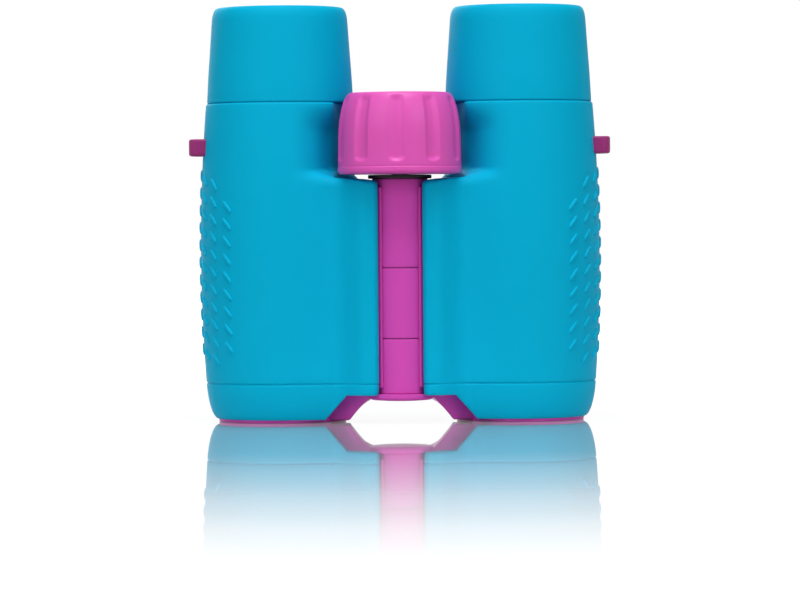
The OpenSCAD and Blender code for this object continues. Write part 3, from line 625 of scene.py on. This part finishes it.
def grid_faces(rows, columns, wrap_rows, wrap_columns):
    """Quads between the points of a grid; a wrapped direction joins its last line to its first."""
    i = np.arange(rows if wrap_rows else rows - 1)[:, None]
    j = np.arange(columns if wrap_columns else columns - 1)[None]
    k, m = (i + 1) % rows, (j + 1) % columns
    i, k = i * columns, k * columns
    return np.stack([i + j, k + j, k + m, i + m], -1).reshape(-1, 4)


def add_piece(name, sheets, side, body, material, nodes=()):
    """Makes one piece from sheets in millimetres, given for the right side: merges doubled points,
    turns its faces outwards and shades it smooth except at sharp edges."""
    points, faces, count = [], [], 0
    for grid, wrap_rows, wrap_columns in sheets:
        copies = grid.reshape(-1, *grid.shape[-3:])
        quads = grid_faces(copies.shape[1], copies.shape[2], wrap_rows, wrap_columns)
        step = copies.shape[1] * copies.shape[2]
        shift = step * np.arange(len(copies))[:, None, None]
        faces.append((count + quads[None] + shift).reshape(-1, 4))
        points.append(copies.reshape(-1, 3))
        count += step * len(copies)
    place = np.concatenate(points) * MM * [side, 1, 1]
    mesh = bpy.data.meshes.new(name)
    mesh.from_pydata(place.tolist(), [], np.concatenate(faces).tolist())
    shape = bmesh.new()
    shape.from_mesh(mesh)
    bmesh.ops.remove_doubles(shape, verts=shape.verts, dist=2e-6)
    bmesh.ops.dissolve_degenerate(shape, edges=shape.edges, dist=1e-7)
    bmesh.ops.recalc_face_normals(shape, faces=shape.faces)
    shape.to_mesh(mesh)
    shape.free()
    mesh.polygons.foreach_set("use_smooth", np.ones(len(mesh.polygons), bool))
    mesh.set_sharp_from_angle(angle=np.radians(SHARP))
    mesh.materials.append(material)
    piece = bpy.data.objects.new(name, mesh)
    bpy.context.collection.objects.link(piece)
    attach(piece, body)
    if nodes:
        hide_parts(*nodes)


def add_pair(name, sheet, material, node="", right="right_barrel"):
    """Makes the left and the right piece of a pair from one sheet."""
    for place, side in SIDES:
        body = "left_barrel" if side < 0 else right
        nodes = [f"{place}_{node}"] if node else ()
        add_piece(f"{place}_{name}", [sheet], side, body, material, nodes)


# Finishes


def add_node(tree, kind, inputs=None, **settings):
    """Outputs of a new shader node with its settings. Each input gets a value or another output."""
    node = tree.nodes.new("ShaderNode" + kind)
    for key, value in settings.items():
        setattr(node, key, value)
    for key, value in (inputs or {}).items():
        if isinstance(value, bpy.types.NodeSocket):
            tree.links.new(value, node.inputs[key])
        else:
            node.inputs[key].default_value = value
    return node.outputs


def combine(tree, operation, a, b):
    """Output of an operation on two values or outputs."""
    return add_node(tree, "Math", {0: a, 1: b}, operation=operation)[0]


def map_range(tree, source, given, wanted):
    """Output that carries a value from one range to another."""
    limits = zip(("From Min", "From Max", "To Min", "To Max"), (*given, *wanted))
    return add_node(tree, "MapRange", {"Value": source, **dict(limits)})["Result"]


def surface_group():
    """Node group shared by every finish: fine moulding grain, smudges from handling and a slow
    drift of tone, all on Object coordinates."""
    found = bpy.data.node_groups.get("Moulded surface")
    if found:
        return found
    group = bpy.data.node_groups.new("Moulded surface", "ShaderNodeTree")
    layers = (("Grain", 3.0, 0.6), ("Smudge", 4.0, 0.55), ("Drift", 2.0, 0.5))
    for name, _, _ in layers:
        for socket, way in ((name + " Scale", "INPUT"), (name, "OUTPUT")):
            group.interface.new_socket(socket, in_out=way, socket_type="NodeSocketFloat")
    start, end = group.nodes.new("NodeGroupInput"), group.nodes.new("NodeGroupOutput")
    place = add_node(group, "TexCoord")["Object"]
    for name, detail, rough in layers:
        scale = start.outputs[name + " Scale"]
        inputs = {"Vector": place, "Scale": scale, "Detail": detail, "Roughness": rough}
        group.links.new(add_node(group, "TexNoise", inputs)["Fac"], end.inputs[name])
    return group


def finish(name, colour, tone, rough, grain, scales, shine=0.5, **values):
    """Material whose colour drifts between two tones, with roughness from smudges and a bump from
    the grain, which is in mm. The scales are those of grain, smudges and drift."""
    found = bpy.data.materials.get(name)
    if found:
        return found
    material = bpy.data.materials.new(name)
    material.use_nodes = True
    tree = material.node_tree
    shader = tree.nodes["Principled BSDF"]
    names = ("Grain Scale", "Smudge Scale", "Drift Scale")
    surface = add_node(tree, "Group", dict(zip(names, scales)), node_tree=surface_group())
    dark, light = ((*[min(c * k, 1) for c in colour], 1) for k in (1 - tone, 1 + tone))
    inputs = {"Factor": surface["Drift"], "A": dark, "B": light}
    mix = add_node(tree, "Mix", inputs, data_type="RGBA")
    tree.links.new(mix["Result"], shader.inputs["Base Color"])
    spread = map_range(tree, surface["Smudge"], (0.3, 0.7), rough)
    tree.links.new(spread, shader.inputs["Roughness"])
    if grain:
        bump = {"Strength": 0.5, "Distance": grain * MM, "Height": surface["Grain"]}
        tree.links.new(add_node(tree, "Bump", bump)["Normal"], shader.inputs["Normal"])
    for socket, value in {"Specular IOR Level": shine, **values}.items():
        shader.inputs[socket.replace("_", " ")].default_value = value
    return material


def finishes():
    """The finishes of the object."""
    c = bpy.context.scene.binocular_colours
    hard, matt, metal = (1800, 190, 50), (1800, 160, 45), (4000, 160, 45)
    coating = {"Coat_Weight": 0.5, "Coat_Tint": (0.7, 0.55, 1.0, 1)}
    clear = {"Transmission_Weight": 1.0, "IOR": 1.52, **coating}
    return SimpleNamespace(
        rubber=finish("Soft rubber", c.rubber, 0.03, (0.5, 0.62), 0.02, (2000, 140, 40), 0.05),
        plastic=finish("Satin plastic", c.plastic, 0.03, (0.34, 0.44), 0.006, hard, 0.32),
        chassis=finish("Chassis plastic", c.chassis, 0.03, (0.3, 0.38), 0.005, hard, 0.08),
        # painted shade: the loops' pink is a darkened copy of the plastic, standing in for the
        # shade they sit in
        loops=finish("Loop plastic", c.loops, 0.03, (0.34, 0.44), 0.005, hard, 0.2),
        black=finish("Matt black plastic", c.black, 0.15, (0.42, 0.55), 0.008, matt, 0.25),
        glass=finish("Coated glass", c.glass, 0.01, (0.0, 0.03), 0, (4000, 220, 60), **clear),
        steel=finish("Turned steel", c.steel, 0.06, (0.25, 0.4), 0.006, metal, Metallic=1.0),
        brass=finish("Turned brass", c.brass, 0.06, (0.25, 0.4), 0.006, metal, Metallic=1.0),
    )


def carry_over(names, material):
    """Gives a finish to solids that are shown as they are."""
    for name in names:
        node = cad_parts[name]
        node.data.materials.clear()
        node.data.materials.append(material)


# Operators


class BINOCULARS_OT_armours(bpy.types.Operator):
    """Builds the rubber armour of both barrels"""

    bl_idname = "binoculars.armours"
    bl_label = "Armours"

    def execute(self, context):
        sheet = armour_sheet(sizes())
        add_pair("armour_rubber", sheet, finishes().rubber, "armour")
        return {"FINISHED"}


class BINOCULARS_OT_ribs(bpy.types.Operator):
    """Builds the grip ribs on both barrels"""

    bl_idname = "binoculars.ribs"
    bl_label = "Grip ribs"

    def execute(self, context):
        add_pair("grip_ribs", rib_sheet(sizes()), finishes().rubber)
        return {"FINISHED"}


class BINOCULARS_OT_bands(bpy.types.Operator):
    """Builds the front bands"""

    bl_idname = "binoculars.bands"
    bl_label = "Front bands"

    def execute(self, context):
        sheet = band_sheet(sizes())
        add_pair("band_rubber", sheet, finishes().rubber, "band")
        return {"FINISHED"}


class BINOCULARS_OT_eyecups(bpy.types.Operator):
    """Builds the eyecups"""

    bl_idname = "binoculars.eyecups"
    bl_label = "Eyecups"

    def execute(self, context):
        s = sizes()
        low, top = s.body_h + s.seam_gap, s.body_h + s.eyecup_h
        hole_r, hole_top = s.spigot_r + 0.06, SPIGOT_TOP + 0.1
        bore_r, ledge = s.neck_bore_r, 92.6  # the bore for the eyepiece and the cup's inner ledge
        lower, upper = (17.6, 84.2), (17.1, 91)  # points of the side's slight curve
        corners = [
            [hole_r, low, 0.2], [s.eyecup_r, low, 0.5], [*lower, 2.5], [*upper, 2.5],
            [s.eyecup_top_r - 0.1, top, 3.4], [s.cup_r + 0.1, top, 1.0],
            [s.cup_r, ledge + 1.9, 0.8], [bore_r + 0.9, ledge, 0.3], [bore_r, ledge - 0.05, 0.2],
            [bore_r, hole_top, 0.1], [hole_r, hole_top, 0.1],
        ]
        sheet = turned(rounded(corners, 9), (s.axis_x, s.axis_y), 160)
        rubber = finishes().rubber
        add_pair("eyecup_rubber", sheet, rubber, "eyecup", "right_eyecup")
        return {"FINISHED"}


class BINOCULARS_OT_chassis(bpy.types.Operator):
    """Builds the hard plastic of both barrels: tube, web, flange and hinge knuckles"""

    bl_idname = "binoculars.chassis"
    bl_label = "Chassis"

    def execute(self, context):
        s = sizes()
        barrel, hinge, _, facing = plan(s)
        reach = np.linalg.norm(barrel - hinge)
        towards = facing - 180
        split, top = 9.9, s.bridge_top - CORE_DROP  # ends of the wall between front rim and neck
        neck_low, web_low, web_top = 56.9, 54.4, 57.2  # the neck's foot, ends of the upper web
        gap, clear, slot = 12, 30, 2.4  # degrees left for the web, and half the focus arm's slot
        foot_r, core_r, neck_r, bore_r = s.foot_core_r, s.core_r, s.neck_core_r, s.bore_r
        foot = [
            [s.recess_r, 0, 0.25], [foot_r, 0, 0.3], [foot_r, RIM_H, 0.4],
            [core_r - 0.02, s.band_h, 0.2], [core_r - 0.02, split, 0.1], [bore_r, split, 0.1],
            [bore_r, s.recess_h, 0.1], [s.recess_r, s.recess_h, 0.1],
        ]
        wall = [
            [bore_r, split, 0.05], [core_r, split, 0.05], [core_r, top - CORE_CONE, 0.05],
            [neck_r, top, 0.05], [neck_r, top + 0.2, 0.05], [bore_r, neck_low, 0.05],
        ]
        neck = [
            [s.neck_bore_r, neck_low + 0.05, 0.1], [neck_r, web_top, 0.1], [neck_r, s.body_h, 0.2],
            [s.spigot_r, s.body_h, 0.1], [s.spigot_r, SPIGOT_TOP, 0.3],
            [s.neck_bore_r, SPIGOT_TOP, 0.2],
        ]

        def gusset(d):
            """Height of the web's lower edge, which falls in a curve from the hinge to the rim."""
            start, high, fall = 10.2, 6.1, 5.6
            t = np.clip((d - start) / (reach - foot_r - 0.6 - start), 0, 1)
            return high - fall * t**1.25

        inner, low, high = s.flange_r - s.flange_w, s.hinge_z + 1.6, s.bridge_top - 1.6
        flange = ring(inner, s.flange_r, low, high, 0.35, 0.35)
        edge = np.degrees(np.arccos(s.strip_x / (s.flange_r - s.flange_w / 2)))
        shared = [
            turned(rounded(foot), barrel, 128),
            arc(rounded(wall, 3), barrel, facing + gap, facing + 360 - gap, 96),
            turned(rounded(neck), barrel, 128),
            arc(flange, hinge, -edge, -4, 40),
            arc(flange, hinge, towards + 24, edge, 12),
            web_sheet(s, reach - bore_r - 0.8, gusset, split),
            web_sheet(s, reach - neck_r + 1, web_low, web_top),
            web_sheet(s, reach - core_r + 1, split, web_low, slot),
            web_sheet(s, reach - core_r + 1, split, web_low, slot, -1),
        ]
        (low, over), (under, high) = ((z - JOINT_HALF, z + JOINT_HALF) for z in JOINTS)
        ends = {"left": [(s.hinge_z, low), (high, HINGE_TOP)], "right": [(over, under)]}
        turn = towards + clear, towards + 360 - clear
        for name, side in SIDES:
            sections = [ring(KNUCKLE_BORE, s.knuckle_r, *span, 0.4, 0.4) for span in ends[name]]
            knuckles = [arc(part, hinge, *turn, 84) for part in sections]
            piece, body, nodes = f"{name}_chassis_moulding", f"{name}_barrel", [f"{name}_chassis"]
            sheets, plastic = shared + knuckles, finishes().chassis
            add_piece(piece, sheets, side, body, plastic, nodes)
        return {"FINISHED"}


class BINOCULARS_OT_loops(bpy.types.Operator):
    """Builds the strap loops"""

    bl_idname = "binoculars.loops"
    bl_label = "Strap loops"

    def execute(self, context):
        sheet = loop_sheet(sizes())
        # the loops' finish has painted shade: a darkened copy of the pink plastic
        add_pair("loop_moulding", sheet, finishes().loops, "strap_loop")
        return {"FINISHED"}


class BINOCULARS_OT_knob(bpy.types.Operator):
    """Builds the focus knob and the cap in its top"""

    bl_idname = "binoculars.knob"
    bl_label = "Focus knob"

    def execute(self, context):
        s = sizes()
        top, r = s.knob_z + s.knob_h, s.knob_cap_r - 0.03
        low = top - SEAT_DEPTH
        rim = rounded([[r, low, 0], [r, top, 0.35], [r - 1, top, 0]], closed=False)
        cap = np.concatenate([[[0, low]], rim, [[3, top - 0.12], [0, top - 0.15]]])
        lid, plastic = turned(cap, (0, s.hinge_y), closed=False), finishes().plastic
        for node, sheet in (("focus_knob", knob_sheet(s)), ("knob_cap", lid)):
            add_piece(f"{node}_moulding", [sheet], 1, "focus_knob", plastic, [node])
        return {"FINISHED"}


class BINOCULARS_OT_hinge(bpy.types.Operator):
    """Builds the hinge's cap, washer and joint discs, and finishes what runs inside it"""

    bl_idname = "binoculars.hinge"
    bl_label = "Hinge"

    def execute(self, context):
        s = sizes()
        f = finishes()
        axis = (0, s.hinge_y)
        flat_r, back_r = 4.6, 5  # the cap's flat lower face, and the flat of its upper one
        low, high = s.cap_z, s.hinge_z
        r = s.cap_r
        side = [[flat_r, low, 0], [r, low + 0.25, 1.1], [r, high, 0.2], [back_r, high, 0]]
        dome = np.concatenate([[[0, low]], rounded(side, 8, closed=False), [[0, high]]])
        hole_r, disc_r, half = 4.2, 6.3, 0.06  # washer's hole, discs' rim and half thickness
        washer = ring(hole_r, s.washer_r, HINGE_TOP, HINGE_TOP + s.washer_h, 0.25, 0.05)
        discs = [ring(KNUCKLE_BORE, disc_r, z - half, z + half, 0.02, 0.02) for z in JOINTS]
        cap, washer = [turned(dome, axis, closed=False)], [turned(washer, axis)]
        discs = [turned(disc, axis) for disc in discs]
        for name, sheets, slot, material, node in (
            ("hinge_cap_moulding", cap, "pink_plastic", f.chassis, "hinge_cap"),
            ("focus_washer_disc", washer, "black_plastic", f.black, "focus_washer"),
            ("hinge_joint_discs", discs, "black_plastic", f.black, "hinge_washers"),
        ):
            add_piece(name, sheets, 1, "left_barrel", material, [node])
        arms = [f"{name}_focus_arm" for name, _ in SIDES]
        carry_over(["hinge_tube", "knob_screw", "focus_spindle", *arms], f.steel)
        carry_over(["focus_nut"], f.brass)
        return {"FINISHED"}


class BINOCULARS_OT_optics(bpy.types.Operator):
    """Builds the lenses, their rings and tubes, and finishes the prisms"""

    bl_idname = "binoculars.optics"
    bl_label = "Optics"

    def execute(self, context):
        s = sizes()
        f = finishes()
        axis = (s.axis_x, s.axis_y)
        for name, side in SIDES:
            eye = "left_barrel" if side < 0 else "right_eyepiece"
            front = f"{name}_focus"
            for piece, corners, body in (
                ("eyepiece_tube", EYEPIECE_TUBE, eye),
                ("eyepiece_ring", EYEPIECE_RING, eye),
                ("objective_cell", OBJECTIVE_CELL, front),
                ("objective_ring", OBJECTIVE_RING, front),
            ):
                sheet, node = turned(rounded(corners), axis), f"{name}_{piece}"
                add_piece(f"{node}_turned", [sheet], side, body, f.black, [node])
            for piece, lens, body in (
                ("eye_lens", EYE_LENS, eye),
                ("objective_lens", OBJECTIVE_LENS, front),
            ):
                sheet, node = lens_sheet(axis, *lens), f"{name}_{piece}"
                add_piece(f"{node}_glass", [sheet], side, body, f.glass, [node])
            glass = ("field_lens", "roof_prism", "half_penta_prism")
            carry_over([f"{name}_{n}" for n in glass], f.glass)
            carry_over([f"{name}_{n}" for n in ("field_stop", "prism_housing")], f.black)
            carry_over([f"{name}_prism_screws"], f.steel)
        return {"FINISHED"}


class BINOCULARS_OT_stage(bpy.types.Operator):
    """Sets the floor, the light and the camera"""

    bl_idname = "binoculars.stage"
    bl_label = "Stage"

    def execute(self, context):
        scene = context.scene
        g = scene.binocular_stage
        scene.view_settings.view_transform = "Standard"
        self.world(scene, g)
        self.floor(scene)
        for name, power, place, size in LAMPS:
            self.lamp(scene, name, place, size, getattr(g, power))
        self.camera(scene, g)
        return {"FINISHED"}

    def world(self, scene, g):
        """White where the camera, a reflection or glass looks, and an even soft light elsewhere."""
        world = bpy.data.worlds.new("Studio")
        scene.world = world
        world.use_nodes = True
        tree = world.node_tree
        tree.nodes.clear()
        soft = add_node(tree, "Background", {"Color": WHITE, "Strength": g.sky})[0]
        white = add_node(tree, "Background", {"Color": WHITE, "Strength": 1})[0]
        mix = add_node(tree, "MixShader", {0: self.seen(tree), 1: soft, 2: white})[0]
        add_node(tree, "OutputWorld", {"Surface": mix})

    def seen(self, tree):
        """1 for camera, glossy and transmission rays."""
        path = add_node(tree, "LightPath")
        first = combine(tree, "MAXIMUM", path["Is Camera Ray"], path["Is Glossy Ray"])
        return combine(tree, "MAXIMUM", first, path["Is Transmission Ray"])

    def floor(self, scene):
        """White floor that mirrors what stands on it, less and less with the distance from the
        middle, and glows more with the distance and behind the object."""
        size, low, grey = 3.0, -0.02 * MM, 0.42
        around, behind = (0.46, 0.9), (-0.02, 0.4)  # m, where the glow grows with distance, depth
        glows = (0.53, 1.0)
        material = bpy.data.materials.new("White floor")
        material.use_nodes = True
        tree = material.node_tree
        tree.nodes.clear()
        place = add_node(tree, "TexCoord")["Object"]
        far = add_node(tree, "VectorMath", {0: place}, operation="LENGTH")["Value"]
        ramp = add_node(tree, "ValToRGB", {"Fac": combine(tree, "MULTIPLY", far, 2)})
        stops = ramp[0].node.color_ramp.elements
        stops[0].position, stops[1].position = FADE[0][0], FADE[-1][0]
        for position, _ in FADE[1:-1]:
            stops.new(position)
        for stop, (position, value) in zip(stops, FADE):
            stop.position, stop.color = position, (value, value, value, 1)
        slant = add_node(tree, "LayerWeight", {"Blend": 0.5})["Facing"]
        gloss = combine(tree, "MULTIPLY", combine(tree, "POWER", slant, 2), ramp["Color"])
        depth = add_node(tree, "SeparateXYZ", {0: place})["Y"]
        ranges = ((far, around), (depth, behind))
        pale = combine(tree, "MAXIMUM", *(map_range(tree, *r, glows) for r in ranges))
        lit = combine(tree, "MULTIPLY", pale, self.seen(tree))
        matt = add_node(tree, "BsdfDiffuse", {"Color": (grey, grey, grey, 1)})[0]
        glow = add_node(tree, "Emission", {"Color": WHITE, "Strength": lit})[0]
        mirror = add_node(tree, "BsdfGlossy", {"Color": WHITE, "Roughness": 0.02})[0]
        both = add_node(tree, "AddShader", {0: matt, 1: glow})[0]
        mix = add_node(tree, "MixShader", {0: gloss, 1: both, 2: mirror})[0]
        add_node(tree, "OutputMaterial", {"Surface": mix})
        mesh = bpy.data.meshes.new("Floor")
        corners = [(-size, -size, low), (size, -size, low), (size, size, low), (-size, size, low)]
        mesh.from_pydata(corners, [], [(0, 1, 2, 3)])
        mesh.materials.append(material)
        floor = bpy.data.objects.new("Floor", mesh)
        scene.collection.objects.link(floor)

    def lamp(self, scene, name, place, size, power):
        """Square lamp aimed at the middle of the object."""
        middle = Vector((0, 0, 0.05))
        light = bpy.data.lights.new(name, "AREA")
        light.size, light.energy = size, power
        lamp = bpy.data.objects.new(name, light)
        lamp.location = place
        lamp.rotation_euler = (middle - Vector(place)).to_track_quat("-Z", "Y").to_euler()
        scene.collection.objects.link(lamp)

    def camera(self, scene, g):
        """Long lens far in front, a little above the object's middle and looking slightly down."""
        barrels_y = 0.0044
        camera = bpy.data.cameras.new("Camera")
        camera.lens, camera.sensor_width = g.focal, 36
        view = bpy.data.objects.new("Camera", camera)
        view.location = (g.camera_x, g.camera_y, g.camera_z)
        aim = Vector((g.camera_x, barrels_y, g.aim_z)) - view.location
        turn = aim.to_track_quat("-Z", "Y").to_matrix()
        view.rotation_euler = (turn @ Matrix.Rotation(g.roll, 3, "Z")).to_euler()
        scene.collection.objects.link(view)
        scene.camera = view


OPERATORS = (
    BINOCULARS_OT_armours,
    BINOCULARS_OT_ribs,
    BINOCULARS_OT_bands,
    BINOCULARS_OT_eyecups,
    BINOCULARS_OT_chassis,
    BINOCULARS_OT_loops,
    BINOCULARS_OT_knob,
    BINOCULARS_OT_hinge,
    BINOCULARS_OT_optics,
    BINOCULARS_OT_stage,
)


GROUPS = {
    "binocular_sizes": BinocularSizes,
    "binocular_colours": BinocularColours,
    "binocular_stage": BinocularStage,
}


class BINOCULARS_PT_panel(bpy.types.Panel):
    """Lists the pieces and their settings"""

    bl_label = "Children's Binoculars"
    bl_space_type = "VIEW_3D"
    bl_region_type = "UI"
    bl_category = "Binoculars"

    def draw(self, context):
        for operator in OPERATORS:
            self.layout.operator(operator.bl_idname)
        for group, settings in GROUPS.items():
            box = self.layout.box()
            for name in settings.__annotations__:
                box.prop(getattr(context.scene, group), name)


CLASSES = (*GROUPS.values(), *OPERATORS, BINOCULARS_PT_panel)


def register():
    for cls in CLASSES:
        bpy.utils.register_class(cls)
    for name, group in GROUPS.items():
        setattr(bpy.types.Scene, name, bpy.props.PointerProperty(type=group))


def unregister():
    for name in GROUPS:
        delattr(bpy.types.Scene, name)
    for cls in reversed(CLASSES):
        bpy.utils.unregister_class(cls)


def main():
    register()
    for operator in OPERATORS:
        group, name = operator.bl_idname.split(".")
        getattr(getattr(bpy.ops, group), name)()
    bpy.context.view_layer.update()


if __name__ == "__main__":
    main()
